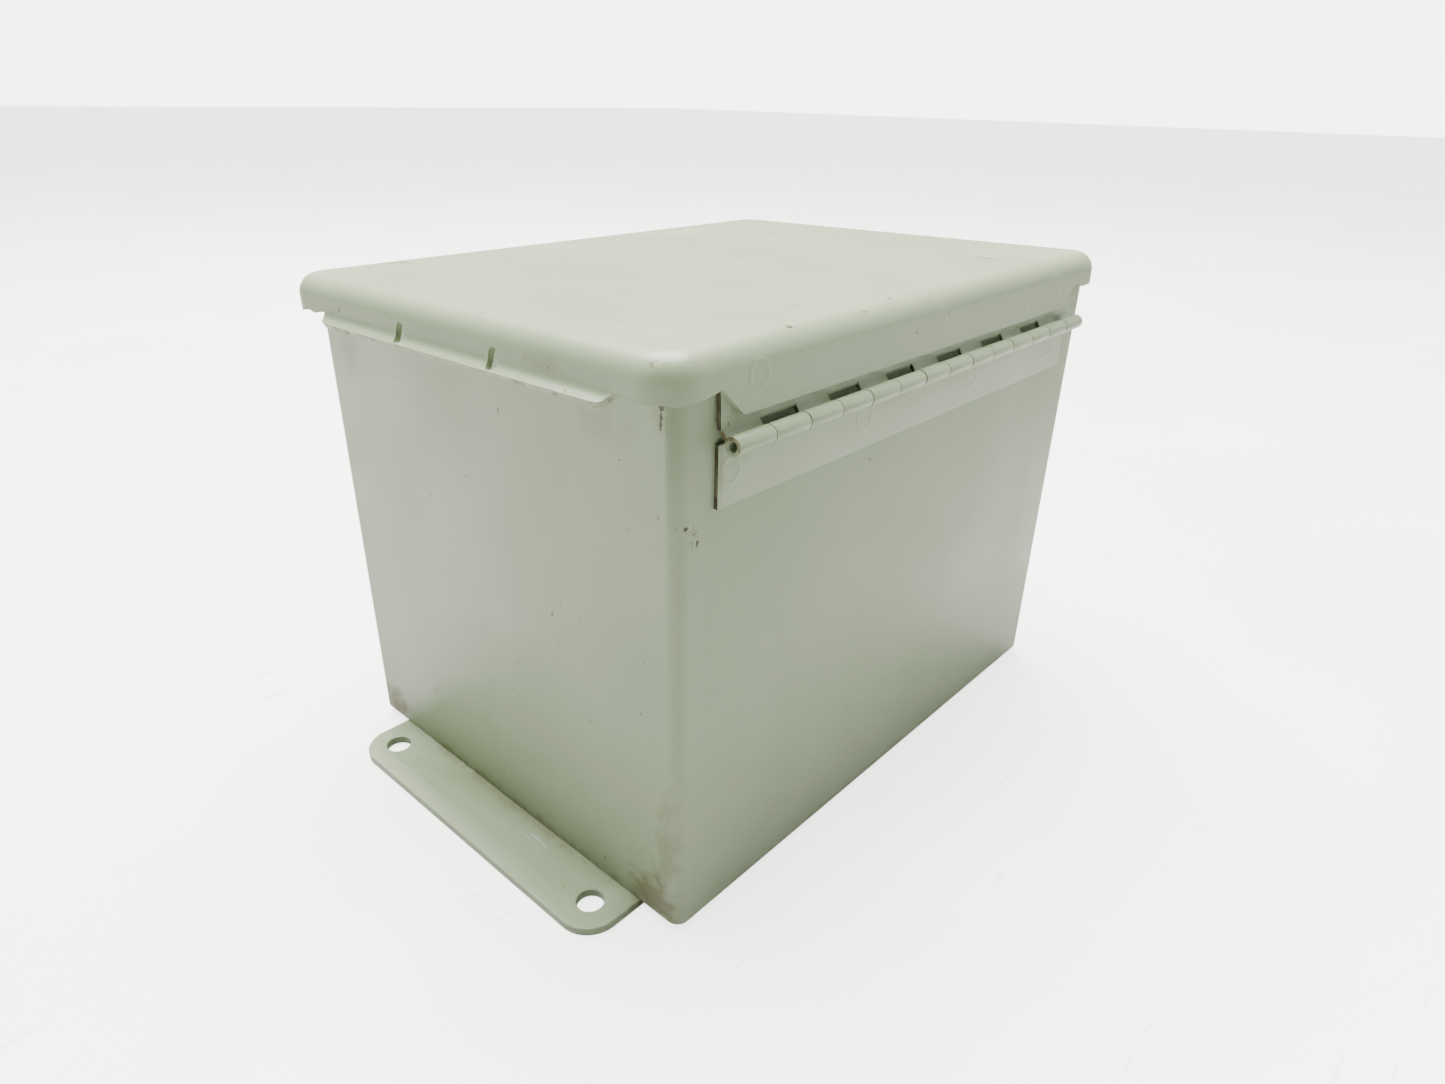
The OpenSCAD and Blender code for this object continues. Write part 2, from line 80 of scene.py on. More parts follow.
pin = [sum(c) / 2 for c in zip(*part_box("hinge_pin"))]
HINGE_X, HINGE_Z = pin[0] / MM, pin[2] / MM
KNUCKLE_R = 2.3  # outside radius of the hinge barrel
LIP_REACH = LIP_R * (1 - math.cos(LIP_ANGLE)) + LIP_TAIL * math.sin(LIP_ANGLE)
body_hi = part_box("body_shell")[1] / MM
COVER_X0, COVER_X1 = -body_hi.x - LATCH_OVERHANG, body_hi.x + HINGE_OVERHANG
COVER_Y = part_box("cover_pan")[1].y / MM - LIP_REACH
COVER_Z = body_hi.z + COVER_RISE
SKIRT_Z = COVER_Z - SKIRT_H
FLANGE_Z = HINGE_Z + FLANGE_ABOVE_PIN
FLANGE_Y0, FLANGE_Y1 = -90.9, 85.9  # ends of the hinge flange


def on_cover(p):
    """A point of the level cover, in mm, turned about the hinge pin to its place, in metres."""
    turn = Matrix.Rotation(-DROOP, 3, "Y")
    axis = Vector((HINGE_X, 0, HINGE_Z))
    return (turn @ (Vector(p) - axis) + axis) * MM


# ---------------------------------------------------------------- materials

COLOURS = {
    "paint": (0.231, 0.288, 0.168),
    "paint_light": (0.246, 0.301, 0.184),
    # darker streaks painted in for the streaky reflections on the upright faces
    "painted_reflection_streak": (0.205, 0.253, 0.158),
    "paint_fleck": (0.300, 0.340, 0.245),
    # also the colour of the painted shade by the floor and at the hinge leaf's end
    "dirt_and_shade": (0.130, 0.105, 0.050),
    "scuff": (0.50, 0.51, 0.48),
    "scratch": (0.105, 0.086, 0.036),
    "chip": (0.050, 0.043, 0.017),
    "white": (0.72, 0.71, 0.67),
    "zinc": (0.60, 0.60, 0.58),
    "copper": (0.72, 0.47, 0.22),
    "aluminium": (0.72, 0.73, 0.74),
    "black": (0.022, 0.022, 0.024),
    "green": (0.03, 0.20, 0.07),
}


class Nodes:
    """Short names for building a material's node tree."""

    def __init__(self, name):
        self.material = bpy.data.materials.new(name)
        self.material.use_nodes = True
        self.tree = self.material.node_tree
        self.shader = self.tree.nodes["Principled BSDF"]
        self.at = self.add("ShaderNodeTexCoord").outputs["Object"]

    def add(self, kind, **inputs):
        node = self.tree.nodes.new(kind)
        for key, value in inputs.items():
            self.set(node.inputs[key], value)
        return node

    def set(self, socket, value):
        if isinstance(value, bpy.types.NodeSocket):
            self.tree.links.new(value, socket)
        else:
            socket.default_value = value

    def math(self, operation, a, b=0.0, clamp=False):
        node = self.add("ShaderNodeMath")
        node.operation = operation
        node.use_clamp = clamp
        self.set(node.inputs[0], a)
        self.set(node.inputs[1], b)
        return node.outputs[0]

    def vector(self, operation, a, b):
        node = self.add("ShaderNodeVectorMath")
        node.operation = operation
        self.set(node.inputs[0], a)
        self.set(node.inputs[1], b)
        return node.outputs["Value" if operation in ("LENGTH", "DISTANCE") else "Vector"]

    def noise(self, scale, detail=3.0, stretch=None, rough=0.5):
        at = self.at if stretch is None else self.vector("MULTIPLY", self.at, stretch)
        node = self.add("ShaderNodeTexNoise", Vector=at, Scale=scale, Detail=detail, Roughness=rough)
        return node.outputs["Fac"]

    def step(self, value, low, high, out_low=0.0, out_high=1.0):
        node = self.add("ShaderNodeMapRange")
        node.interpolation_type = "SMOOTHSTEP"
        for key, v in (("Value", value), ("From Min", low), ("From Max", high),
                       ("To Min", out_low), ("To Max", out_high)):
            self.set(node.inputs[key], v)
        return node.outputs["Result"]

    def mix(self, factor, a, b):
        node = self.add("ShaderNodeMix")
        node.data_type = "RGBA"
        self.set(node.inputs[0], factor)
        self.set(node.inputs[6], a if isinstance(a, bpy.types.NodeSocket) else (*a, 1))
        self.set(node.inputs[7], b if isinstance(b, bpy.types.NodeSocket) else (*b, 1))
        return node.outputs[2]

    def spot(self, centre, size, ragged, edge=0.35):
        """A soft patch round a point in mm, of the given half sizes, with a broken outline."""
        away = self.vector("SUBTRACT", self.at, mm(*centre))
        away = self.vector("MULTIPLY", away, Vector(1 / mm(s) for s in size))
        far = self.vector("LENGTH", away, (0, 0, 0))
        return self.step(self.math("ADD", far, ragged), 1.0, 1.0 - edge, 0.0, 1.0)

    def spots(self, places, ragged, edge, covered=0.0):
        """Wherever any of the places reaches; a place may end with its own strength."""
        for centre, size, *strength in places:
            patch = self.spot(centre, size, ragged, edge)
            for amount in strength:
                patch = self.math("MULTIPLY", patch, amount)
            covered = self.math("MAXIMUM", covered, patch)
        return covered

    def bump(self, height, distance, strength=1.0, normal=None):
        node = self.add("ShaderNodeBump", Height=height, Distance=distance, Strength=strength)
        if normal is not None:
            self.set(node.inputs["Normal"], normal)
        return node.outputs["Normal"]

    def finish(self, colour, roughness, metallic=0.0, normal=None, **fixed):
        self.set(self.shader.inputs["Base Color"], colour)
        self.set(self.shader.inputs["Roughness"], roughness)
        self.set(self.shader.inputs["Metallic"], metallic)
        if normal is not None:
            self.set(self.shader.inputs["Normal"], normal)
        for key, value in fixed.items():
            self.shader.inputs[key.replace("_", " ")].default_value = value
        return self.material


GRIME_AND_SHADE = [  # yellow-brown darkening from dirt, and painted shade at the floor and at the hinge leaf's end: centre, half sizes, strength
    # darker patches low on the near end's corners
    ((-68, -101.6, 7), (13, 6, 12), 0.75),
    ((-76, -96, 8), (5, 9, 10), 0.7),
    ((66, -101.6, 8), (12, 6, 16), 0.7),
    ((72, -101.6, 30), (5, 5, 26), 0.35),
    # painted shade: bands along the bottoms of the near end and the hinge side, beside the floor
    ((0, -101.6, 2), (80, 4, 5), 0.45),
    ((76.2, 0, 2), (4, 104, 4), 0.30),
    ((52, -101.6, 142), (14, 4, 7), 0.16),
    ((-62, -101.6, 138), (9, 4, 10), 0.18),
    ((40, -106.6, 154), (14, 3, 3), 0.25),
    ((71, -101.6, 147), (3, 4, 6), 0.30),
    ((-77, -74, 158.4), (9, 7, 4), 0.30),
    ((57, 61, 161.8), (12, 4, 3), 0.30),
    ((79, -97, 160.6), (2.5, 9, 2.5), 0.35),
    ((39, -56, 161.4), (26, 16, 3), 0.14),
    ((-10, -47, 160), (34, 22, 4), 0.14),
    ((-40, 60, 159), (26, 18, 4), 0.12),
    # painted shade in the gap at the near end of the hinge leaves
    ((77.4, -89, 133), (1.2, 1.6, 9), 0.35),
    ((60.6, -45.7, 161.9), (8, 5, 2), 0.24),
    ((-24, -34, 159.7), (12, 7, 2), 0.20),
    ((10, -82, 160.6), (14, 5, 2), 0.16),
    ((-6, 12, 160.2), (10, 14, 2), 0.16),
    ((74, -4, 162), (3, 12, 2), 0.22),
]
CHIPS = [  # bare or dark marks: centre, half sizes
    ((75.4, -64.4, 162.3), (1.3, 1.1, 1.5)),
    ((76.4, -36.5, 162.3), (0.6, 1.8, 1.5)),
    ((73.8, -20.8, 162.2), (1.0, 0.6, 1.5)),
    ((75.9, -106.6, 157.7), (0.6, 1.2, 0.7)),
    ((-53.3, -106.6, 151.6), (0.5, 1.2, 0.8)),
    ((71.6, -101.6, 150.2), (1.0, 2.2, 1.4)),
    ((71.4, -101.6, 147.2), (0.55, 2.2, 2.6)),
    ((76.2, -98.9, 123), (0.8, 0.7, 0.9)),
    ((76.2, -95.4, 118.6), (0.8, 0.5, 0.8)),
    ((43, -101.6, 55.5), (0.4, 1.0, 0.5)),
    ((13, -101.6, 136), (0.4, 1.0, 0.9)),
]
SCRATCHES = [  # clusters of fine brown lines, broken up by noise: centre, half sizes
    ((76.2, -96.6, 119.6), (1.2, 2.6, 5.6)),
    ((33.3, -101.6, 88), (1.8, 1.0, 3.4)),
    ((78.2, -98, 161), (2.4, 9, 1.8)),
    ((74, -104.5, 161), (3, 2.4, 1.8)),
    ((-73, -74, 158.4), (5, 4, 3)),
    ((57, 61, 161.8), (8, 3, 3)),
]
LINES = [  # long thin scuffs through the paint: centre, half sizes
    ((79.0, -97.5, 160.9), (1.6, 6.8, 0.32)),
    ((79.2, -103.4, 159.8), (1.0, 0.45, 1.5)),
    ((79.0, -92.2, 161.0), (1.2, 2.2, 0.25)),
    ((75.0, -106.0, 159.8), (2.6, 1.0, 0.28)),
    ((58, 61, 161.8), (5.5, 0.5, 1.0)),
    ((-74, -73, 158.4), (4.5, 0.5, 1.0)),
]
WELDS = [  # middles of the faint rings left by spot welds
    (79.6, -79, 154.6), (79.6, -3, 154.6), (79.6, 71, 154.6),
    (77.3, -85.7, 133.5), (77.3, -33, 133.5), (77.3, 24, 133.5), (77.3, 77.4, 133.5),
]


def paint():
    """Satin grey-green powder paint: mottled, a little orange peel, handling marks and dirt, painted
    shade low by the floor and at the hinge leaf's end, and painted reflection streaks.
    """
    n = Nodes("satin_paint")
    broad = n.noise(9, 2)
    fine = n.noise(260, 4)
    reflection_streak = n.noise(70, 3, (1, 1, 0.12))
    ragged = n.step(n.noise(240, 4), 0.2, 0.8, -0.35, 0.35)
    rough_edge = n.step(n.noise(900, 3), 0.2, 0.8, -0.6, 0.6)

    base = n.mix(n.step(broad, 0.3, 0.7), COLOURS["paint"], COLOURS["paint_light"])
    # painted reflection: darker vertical streaks for the streaky reflections on the upright faces
    base = n.mix(n.step(reflection_streak, 0.45, 0.85, 0.0, 0.30), base, COLOURS["painted_reflection_streak"])
    base = n.mix(n.step(fine, 0.55, 0.8, 0.0, 0.18), base, COLOURS["paint_fleck"])

    # dirt, with painted shade by the floor and at the hinge leaf's end, from the list above
    dirt_and_shade = n.spots(GRIME_AND_SHADE, ragged, 0.9)
    base = n.mix(dirt_and_shade, base, COLOURS["dirt_and_shade"])

    scuffs = n.math("MULTIPLY", n.spot((21, -107, 2.7), (9, 3, 1.5), ragged, 0.7),
                    n.step(n.noise(800, 2, (0.15, 1, 1)), 0.52, 0.62))
    base = n.mix(n.math("MULTIPLY", scuffs, 0.4), base, COLOURS["scuff"])

    chips = n.spots(CHIPS, rough_edge, 0.3)
    specks = n.step(n.noise(420, 1), 0.785, 0.80)
    chips = n.math("MAXIMUM", chips, n.math("MULTIPLY", specks, 0.6))
    contour = n.math("ABSOLUTE", n.math("SUBTRACT", n.noise(330, 3), 0.5))
    lines = n.step(contour, 0.022, 0.006)
    scratched = n.math("MULTIPLY", lines, n.spots(SCRATCHES, ragged, 0.5))
    scratched = n.spots(LINES, ragged, 0.5, n.math("MULTIPLY", scratched, 0.8))
    base = n.mix(scratched, base, COLOURS["scratch"])
    base = n.mix(chips, base, COLOURS["chip"])

    rough = n.math("ADD", n.step(n.noise(30, 3), 0.3, 0.7, 0.33, 0.43), n.math("MULTIPLY", dirt_and_shade, 0.3))
    peel = n.bump(n.noise(620, 2), mm(0.03), 0.35)
    wave = n.bump(n.noise(14, 1), mm(0.9), 0.30, peel)
    chipped = n.bump(n.math("SUBTRACT", 1.0, chips), mm(0.06), 1.0, wave)
    welds = 0.0
    for centre in WELDS:
        far = n.vector("DISTANCE", n.at, mm(*centre))
        hollow = n.step(far, mm(3.0), mm(2.2), 0.0, 0.8)
        ring = n.math("SUBTRACT", n.step(far, mm(4.2), mm(3.2)), hollow)
        welds = n.math("MAXIMUM", welds, ring)
    welded = n.bump(welds, mm(0.25), 0.5, chipped)
    return n.finish(base, rough, 0.0, welded, Specular_IOR_Level=0.35)


def worn_metal(name, colour, rough, dull=(0.5, 0.5, 0.5), brushed=(1, 1, 1), amount=0.25):
    """Plated or bare metal with fine scratches and a patchy dull film."""
    n = Nodes(name)
    film = n.step(n.noise(120, 4), 0.40, 0.72, 0.0, 1.0)
    tone = n.mix(n.math("MULTIPLY", film, amount), colour, tuple(c * d for c, d in zip(colour, dull)))
    marks = n.noise(900, 3, brushed)
    roughness = n.math("ADD", n.step(marks, 0.3, 0.7, rough - 0.06, rough + 0.08),
                       n.math("MULTIPLY", film, 0.14))
    return n.finish(tone, roughness, 1.0, n.bump(marks, mm(0.02), 0.3))


def moulding(name, colour, rough):
    """Compression-moulded plastic: fine grain, and dust caught on it."""
    n = Nodes(name)
    dust = n.step(n.noise(90, 4), 0.5, 0.8, 0.0, 0.35)
    tone = n.mix(dust, colour, (0.16, 0.155, 0.14))
    return n.finish(tone, n.step(n.noise(40, 3), 0.3, 0.7, rough - 0.05, rough + 0.10), 0.0,
                    n.bump(n.noise(1100, 3), mm(0.03), 0.4), Specular_IOR_Level=0.45)


def white_enamel():
    """White baked enamel on the back panel, with rubbed marks."""
    n = Nodes("white_enamel")
    rub = n.math("MULTIPLY", n.step(n.noise(60, 5, (1, 0.25, 1)), 0.56, 0.72), 0.35)
    tone = n.mix(rub, COLOURS["white"], (0.42, 0.40, 0.36))
    tone = n.mix(n.step(n.noise(8, 2), 0.4, 0.8, 0.0, 0.4), tone, (0.64, 0.62, 0.55))
    return n.finish(tone, n.step(n.noise(50, 3), 0.3, 0.7, 0.28, 0.40), 0.0,
                    n.bump(n.noise(500, 2), mm(0.03), 0.3))


def sponge():
    """Closed-cell sponge gasket: pitted and matt."""
    n = Nodes("sponge")
    cells = n.add("ShaderNodeTexVoronoi", Vector=n.at, Scale=900.0).outputs["Distance"]
    tone = n.mix(n.step(cells, 0.1, 0.6), (0.012, 0.012, 0.013), (0.055, 0.055, 0.056))
    tone = n.mix(n.step(n.noise(60, 4), 0.55, 0.75, 0.0, 0.4), tone, (0.14, 0.135, 0.12))
    return n.finish(tone, n.step(n.noise(80, 3), 0.3, 0.7, 0.80, 0.95), 0.0,
                    n.bump(cells, mm(0.25), 0.8))


def cut_edge(name, sound, rusty, low, high):
    """The sheared edge of the painted sheet: thin paint, with rust showing through in places."""
    n = Nodes(name)
    rust = n.step(n.noise(230, 4), low, high)
    tone = n.mix(rust, sound, rusty)
    return n.finish(tone, n.step(n.noise(300, 3), 0.3, 0.7, 0.45, 0.7), 0.0,
                    n.bump(n.noise(900, 3), mm(0.04), 0.5))


PAINT = paint()
CUT_EDGE = cut_edge("cut_edge", (0.225, 0.262, 0.160), (0.115, 0.088, 0.038), 0.54, 0.66)
# the hinge leaves' ends are painted nearly black: bare sheared edge, and painted shade of the gaps
# beside them
LEAF_EDGE_AND_SHADE = cut_edge("leaf_edge_and_shade", (0.085, 0.082, 0.042), (0.045, 0.036, 0.018), 0.40, 0.62)
WHITE = white_enamel()
ZINC = worn_metal("zinc_plate", COLOURS["zinc"], 0.34, (0.55, 0.53, 0.48))
COPPER = worn_metal("copper_alloy", COLOURS["copper"], 0.30, (0.45, 0.38, 0.40), (0.2, 1, 1), 0.5)
ALUMINIUM = worn_metal("bare_aluminium", COLOURS["aluminium"], 0.36, (0.7, 0.7, 0.7), (1, 0.2, 1))
BLACK = moulding("black_moulding", COLOURS["black"], 0.38)
GREEN = moulding("green_screw", COLOURS["green"], 0.42)
SPONGE = sponge()

FINISH = {  # the material of each CAD node, and how far its edges are softened, in mm
    "body_shell": (PAINT, 0.5), "near_foot": (PAINT, 0.8), "far_foot": (PAINT, 0.8),
    "body_hinge_leaf": (PAINT, 0.25), "cover_hinge_leaf": (PAINT, 0.25),
    "clamp_brackets": (PAINT, 0.5), "cover_pan": (PAINT, 0.0),
    "back_panel": (WHITE, 0.4), "collar_studs": (ZINC, 0.3), "panel_nuts": (ZINC, 0.25),
    "disconnect_base": (BLACK, 0.5), "pullout_head": (BLACK, 0.8),
    "base_screws": (ZINC, 0.25), "line_jaws": (COPPER, 0.2), "load_jaws": (COPPER, 0.2),
    "pullout_blades": (COPPER, 0.3), "line_lugs": (ALUMINIUM, 0.4), "load_lugs": (ALUMINIUM, 0.4),
    "line_lug_screws": (ALUMINIUM, 0.2), "load_lug_screws": (ALUMINIUM, 0.2),
    "ground_bar": (ALUMINIUM, 0.3), "ground_wire_screws": (GREEN, 0.2),
    "ground_fixing_screws": (ZINC, 0.2), "panel_bonding_stud": (ZINC, 0.2),
    "panel_bonding_nut": (ZINC, 0.25), "cover_bonding_stud": (ZINC, 0.2),
    "cover_bonding_nut": (ZINC, 0.25), "hinge_pin": (ZINC, 0.2),
    "cover_gasket": (SPONGE, 0.6), "near_clamp_plate": (ZINC, 0.3),
    "far_clamp_plate": (ZINC, 0.3), "near_clamp_screw": (ZINC, 0.25),
    "far_clamp_screw": (ZINC, 0.25),
}


def soften(piece, width):
    """Joins the CAD facets of each face, then rounds its sharp edges."""
    weld = piece.modifiers.new("weld", "WELD")
    weld.merge_threshold = mm(0.002)
    flat = piece.modifiers.new("flat", "DECIMATE")
    flat.decimate_type = "DISSOLVE"
    flat.angle_limit = math.radians(0.5)
    round_over = piece.modifiers.new("round", "BEVEL")
    round_over.width = mm(width)
    round_over.segments = 3
    round_over.limit_method = "ANGLE"
    round_over.angle_limit = math.radians(40)
    round_over.use_clamp_overlap = True
    round_over.harden_normals = True


def dress_nodes():
    """Gives every CAD node its material and soft edges."""
    for name, (material, width) in FINISH.items():
        node = NODES[name]
        node.data.materials.clear()
        node.data.materials.append(material)
        for face in node.data.polygons:
            face.use_smooth = True
        if width:
            soften(node, width)


def dress_leaf_ends(leaf):
    """Sheared ends on a hinge leaf, painted dark for the shade in the gaps beside them as well as the
    bare edge, and lighter ones on its barrel.
    """
    leaf.data.materials.append(LEAF_EDGE_AND_SHADE)
    leaf.data.materials.append(CUT_EDGE)
    for face in leaf.data.polygons:
        if abs(face.normal.y) > 0.9:
            middle = face.center / MM
            from_pin = math.hypot(middle.x - HINGE_X, middle.z - HINGE_Z)
            face.material_index = 2 if from_pin < KNUCKLE_R else 1


dress_nodes()
for name in ("body_hinge_leaf", "cover_hinge_leaf"):
    dress_leaf_ends(NODES[name])


# ---------------------------------------------------------------- cover

def piece_from(name, mesh, materials, body, slot, *replaced):
    """Links a finished mesh as a piece that rides on a body and stands for CAD nodes."""
    piece = bpy.data.objects.new(name, mesh)
    bpy.context.scene.collection.objects.link(piece)
    for material in materials:
        mesh.materials.append(material)
    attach(piece, body)
    if replaced:
        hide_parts(*replaced)
    return piece


def bake_modifiers(piece):
    """Swaps a piece's mesh for the one its modifiers make."""
    bpy.context.view_layer.update()
    made = bpy.data.meshes.new_from_object(
        piece.evaluated_get(bpy.context.evaluated_depsgraph_get()))
    piece.modifiers.clear()
    piece.data = made


def cylinder_mesh(name, radius, length, place, segments=40):
    """A plain cylinder in mm along its own Z, moved by the matrix place, which is in metres."""
    shape = bmesh.new()
    bmesh.ops.create_cone(shape, cap_ends=True, segments=segments, radius1=mm(radius),
                          radius2=mm(radius), depth=mm(length), matrix=place)
    mesh = bpy.data.meshes.new(name)
    shape.to_mesh(mesh)
    shape.free()
    return mesh


def cover_outline(step=1.1):
    """Round the pan from the near hinge corner: side, point in plan and outward normal."""
    rx, ry = (COVER_X1 - COVER_X0) / 2 - CORNER_R, COVER_Y - CORNER_R
    centre = Vector(((COVER_X0 + COVER_X1) / 2, 0))
    sides = (("hinge", (1, 0), ry), ("far", (0, 1), rx), ("latch", (-1, 0), ry), ("near", (0, -1), rx))
    points = []
    for side, normal, half in sides:
        out = Vector(normal)
        along = Vector((-out.y, out.x))
        middle = centre + Vector((out.x * (rx + CORNER_R), out.y * (ry + CORNER_R)))
        count = round(2 * half / step)
        for i in range(count + 1):
            t = -half + 2 * half * i / count
            points.append((side, middle + along * t, out))
        corner = middle + along * half - out * CORNER_R
        for i in range(1, 14):
            turn = math.radians(90 * i / 14)
            radial = out * math.cos(turn) + along * math.sin(turn)
            points.append(("corner", corner + radial * CORNER_R, radial))
    return points


def lip_length(side, t, full):
    """How far the lip runs along the sheet at t mm from the body's middle: full, round at its ends."""
    half = {"near": END_LIP_L / 2, "far": END_LIP_L / 2, "latch": LATCH_LIP_L / 2}.get(side)
    if half is None:
        return 0.0
    inside = half - abs(t)
    fillet = 0.5 * math.exp(-abs(min(inside, 0)) / 1.2)
    if inside <= 0:
        return fillet
    share = min(inside / LIP_NOSE, 1.0)
    return fillet + (full - fillet) * math.sqrt(1 - (1 - share) ** 2)


def flange_drop(side, t):
    """How far the skirt hangs below its usual edge, for the flange on the hinge side."""
    if side != "hinge":
        return 0.0
    full = SKIRT_Z - FLANGE_Z
    return max(0.0, min(full, t - FLANGE_Y0, FLANGE_Y1 - t))


def corner_sag(side, t):
    """How far the skirt's drawn corners hang below its edge beside the lips and the flange."""
    if side == "corner":
        return CORNER_SAG
    if side == "hinge":
        past = max(FLANGE_Y0 - t, t - FLANGE_Y1)
    else:
        past = abs(t) - (LATCH_LIP_L if side == "latch" else END_LIP_L) / 2
    share = max(0.0, min((past - 0.5) / 7.0, 1.0))
    return CORNER_SAG * share * share * (3 - 2 * share)


def build_cover():
    """The pan as one folded sheet: flat top, round edges, skirts, hinge flange and turned-out lips."""
    outline = cover_outline()
    bend = LIP_R * LIP_ANGLE
    full = bend + LIP_TAIL
    arc = [math.radians(90 * i / 8) for i in range(9)]
    insets = [CORNER_R - 0.4, 8.0]  # rings of the flat top, from the middle outwards
    shape = bmesh.new()
    rows = []
    for side, at, out in outline:
        t = at.x if side in ("near", "far") else at.y
        wobble = noise.noise(Vector((at.x, at.y, 0)) * 0.16) * 0.9
        column = [(-inset, 0.0) for inset in insets]
        for a in arc:
            column.append((-EDGE_R + EDGE_R * math.sin(a), -EDGE_R + EDGE_R * math.cos(a)))
        drop = flange_drop(side, t)
        lip = lip_length(side, t, full)
        bottom = -SKIRT_H - drop - corner_sag(side, t) * (1.0 + wobble)
        for i in (1, 2, 3):
            column.append((0.0, -EDGE_R + (bottom + EDGE_R) * i / 3))
        for i in range(1, 9):
            s = lip * i / 8
            a = min(s, bend) / LIP_R
            tail = max(s - bend, 0.0)
            column.append((LIP_R * (1 - math.cos(a)) + tail * math.sin(LIP_ANGLE),
                           bottom - LIP_R * math.sin(a) - tail * math.cos(LIP_ANGLE)))
        rows.append([shape.verts.new(on_cover((at.x + out.x * o, at.y + out.y * o, COVER_Z + z)))
                     for o, z in column])
    count = len(rows)
    for i in range(count):
        near, far = rows[i], rows[(i + 1) % count]
        for k in range(len(near) - 1):
            shape.faces.new((near[k], near[k + 1], far[k + 1], far[k]))
    shape.faces.new([r[0] for r in rows])
    bmesh.ops.remove_doubles(shape, verts=shape.verts, dist=mm(0.02))
    bmesh.ops.recalc_face_normals(shape, faces=shape.faces)
    top = max(shape.faces, key=lambda f: f.calc_area())
    if top.normal.z < 0:
        bmesh.ops.reverse_faces(shape, faces=shape.faces)
    mesh = bpy.data.meshes.new("cover_sheet")
    shape.to_mesh(mesh)
    shape.free()
    cover = piece_from("cover_sheet", mesh, (PAINT, CUT_EDGE), "cover", "green_paint", "cover_pan")

    thick = cover.modifiers.new("thick", "SOLIDIFY")
    thick.thickness = mm(SHEET)
    thick.offset = -1
    thick.use_even_offset = True
    thick.use_quality_normals = True
    thick.material_offset_rim = 1
    bake_modifiers(cover)
    cutters = []
    oval = Matrix.Diagonal((1.0, LIP_HOLE_TALL, 1.0, 1.0))
    for end in (-1, 1):
        tilt = Matrix.Rotation(end * (LIP_ANGLE / 2 - math.pi / 2), 4, "X")
        for side in (-1, 1):
            at = on_cover((side * LIP_HOLE_GAP / 2, end * COVER_Y, SKIRT_Z - LIP_HOLE_DROP))
            place = Matrix.Translation(at) @ tilt @ oval
            hole = cylinder_mesh("cutter", LIP_HOLE_R, CUTTER_L, place)
            cutter = bpy.data.objects.new("cutter", hole)
            bpy.context.scene.collection.objects.link(cutter)
            cut = cover.modifiers.new("hole", "BOOLEAN")
            cut.operation = "DIFFERENCE"
            cut.object = cutter
            cutters.append(cutter)
    bake_modifiers(cover)
    for cutter in cutters:
        bpy.data.objects.remove(cutter)
    for face in cover.data.polygons:
        face.use_smooth = True
    round_over = cover.modifiers.new("round", "BEVEL")
    round_over.width = mm(0.3)
    round_over.segments = 2
    round_over.limit_method = "ANGLE"
    round_over.angle_limit = math.radians(50)
    round_over.harden_normals = True
    cover.modifiers.new("weigh", "WEIGHTED_NORMAL").keep_sharp = True


build_cover()


# ---------------------------------------------------------------- studio

def area_light(name, at, towards, size, power, colour=(1, 1, 1)):
    """A rectangular lamp in metres and watts, turned towards a point."""
    light = bpy.data.lights.new(name, "AREA")
    light.shape = "RECTANGLE"
    light.size, light.size_y = size
    light.energy = power
    light.color = colour
    lamp = bpy.data.objects.new(name, light)
    lamp.location = at
    lamp.rotation_mode = "QUATERNION"
    lamp.rotation_quaternion = (Vector(towards) - Vector(at)).to_track_quat("-Z", "Y")
    bpy.context.scene.collection.objects.link(lamp)


WORLD_LIGHT, WORLD_DARK = 0.80, 0.05  # room light on the object, and from its dark side
WORLD_SEEN = 5.8  # brightness of the backdrop to the eye only
DARK_SIDE = Vector((0.66, -0.73, 0.18))  # the unlit side of the room
FLOOR_GLOW = 5.2  # glow of the floor to the eye only


def lay_floor():
    """A pale floor that looks bright without lighting the object."""
    floor_mesh = bpy.data.meshes.new("floor")
    floor_mesh.from_pydata([(-9, -9, 0), (9, -9, 0), (9, 9, 0), (-9, 9, 0)], [], [(0, 1, 2, 3)])
    floor = bpy.data.objects.new("floor", floor_mesh)
    floor.location.z = -mm(0.05)
    bpy.context.scene.collection.objects.link(floor)
    n = Nodes("studio_floor")
    tone = n.mix(n.step(n.noise(6, 3), 0.3, 0.7), (0.56, 0.56, 0.54), (0.60, 0.60, 0.58))
    marks = n.step(n.noise(240, 2, (1, 0.12, 1)), 0.70, 0.73, 0.0, 0.35)
    tone = n.mix(marks, tone, (0.34, 0.33, 0.30))
    seen = n.add("ShaderNodeLightPath").outputs["Is Camera Ray"]
    n.set(n.shader.inputs["Emission Color"], tone)
    n.set(n.shader.inputs["Emission Strength"], n.math("MULTIPLY", seen, FLOOR_GLOW))
    floor_mesh.materials.append(n.finish(tone, 0.6))


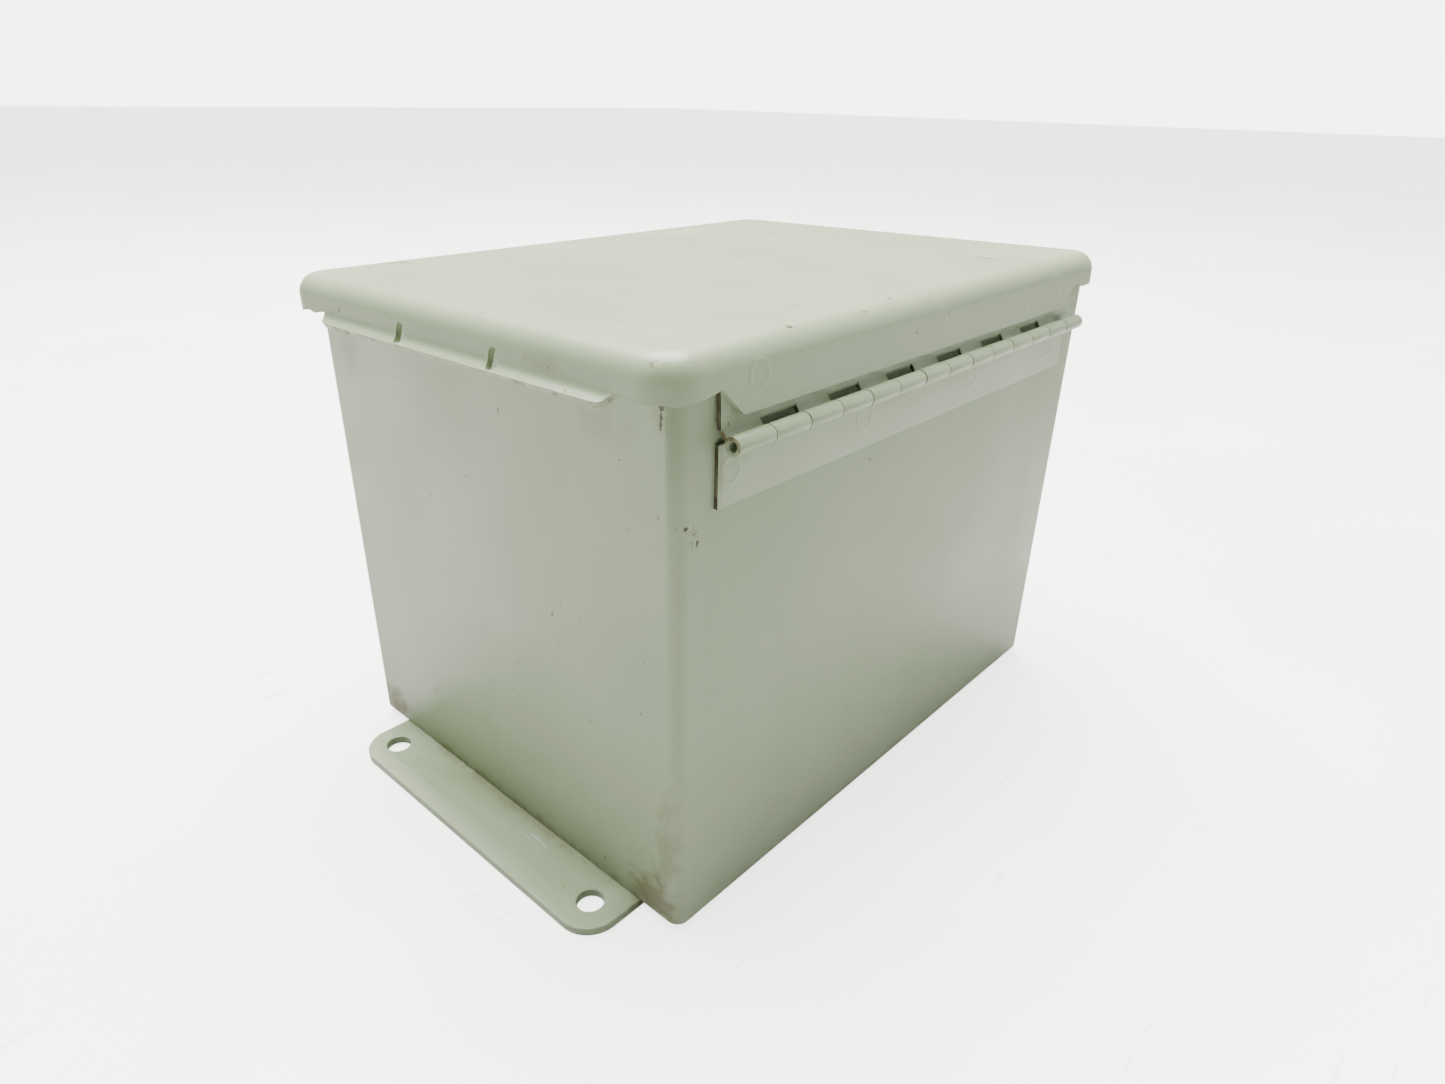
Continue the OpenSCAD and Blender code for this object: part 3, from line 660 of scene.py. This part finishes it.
def room():
    """Soft light from all round but one side, in front of a bright backdrop."""
    world = bpy.data.worlds.new("studio")
    world.use_nodes = True
    tree = world.node_tree
    background = tree.nodes["Background"]
    background.inputs["Color"].default_value = (1.0, 1.0, 0.985, 1)
    path = tree.nodes.new("ShaderNodeLightPath")
    direction = tree.nodes.new("ShaderNodeTexCoord")
    facing = tree.nodes.new("ShaderNodeVectorMath")
    facing.operation = "DOT_PRODUCT"
    facing.inputs[1].default_value = DARK_SIDE
    tree.links.new(direction.outputs["Generated"], facing.inputs[0])
    lit = tree.nodes.new("ShaderNodeMapRange")
    lit.interpolation_type = "SMOOTHSTEP"
    fade = {"From Min": 0.25, "From Max": 0.95, "To Min": WORLD_LIGHT, "To Max": WORLD_DARK}
    for key, value in fade.items():
        lit.inputs[key].default_value = value
    tree.links.new(facing.outputs["Value"], lit.inputs["Value"])
    strength = tree.nodes.new("ShaderNodeMapRange")
    strength.inputs["To Max"].default_value = WORLD_SEEN
    tree.links.new(lit.outputs["Result"], strength.inputs["To Min"])
    tree.links.new(path.outputs["Is Camera Ray"], strength.inputs["Value"])
    tree.links.new(strength.outputs["Result"], background.inputs["Strength"])
    bpy.context.scene.world = world


def lamps():
    """One broad lamp above, and two weak ones that open up the shaded sides."""
    area_light("overhead", (-0.38, 0.16, 1.5), (0, 0, 0.1), (1.3, 1.3), 158)
    area_light("left_fill", (-1.5, -1.1, 0.8), (0, 0, 0.08), (1.2, 1.2), 2.0, (1, 1, 0.9))
    area_light("right_fill", (1.3, 1.4, 0.8), (0, 0, 0.08), (1.2, 1.2), 8)


CAMERA_AT = mm(204.3, -231.05, 209.57)
CAMERA_YAW, CAMERA_PITCH, CAMERA_ROLL = (math.radians(a) for a in (41.587, 25.928, 1.25))
LENS = 23.11  # on a 36 mm wide sensor


def camera():
    """The photograph's viewpoint: yaw round the box, pitch down at it, and a slight roll."""
    back = Vector((math.sin(CAMERA_YAW) * math.cos(CAMERA_PITCH),
                   -math.cos(CAMERA_YAW) * math.cos(CAMERA_PITCH), math.sin(CAMERA_PITCH)))
    level = Vector((math.cos(CAMERA_YAW), math.sin(CAMERA_YAW), 0))
    up = back.cross(level)
    across = math.cos(CAMERA_ROLL) * level + math.sin(CAMERA_ROLL) * up
    upright = math.cos(CAMERA_ROLL) * up - math.sin(CAMERA_ROLL) * level
    data = bpy.data.cameras.new("camera")
    data.sensor_width = 36
    data.lens = LENS
    data.clip_start, data.clip_end = 0.01, 50
    eye = bpy.data.objects.new("camera", data)
    bpy.context.scene.collection.objects.link(eye)
    turn = Matrix((across, upright, back)).transposed()
    eye.matrix_world = Matrix.Translation(CAMERA_AT) @ turn.to_4x4()
    bpy.context.scene.camera = eye


lay_floor()
room()
lamps()
camera()
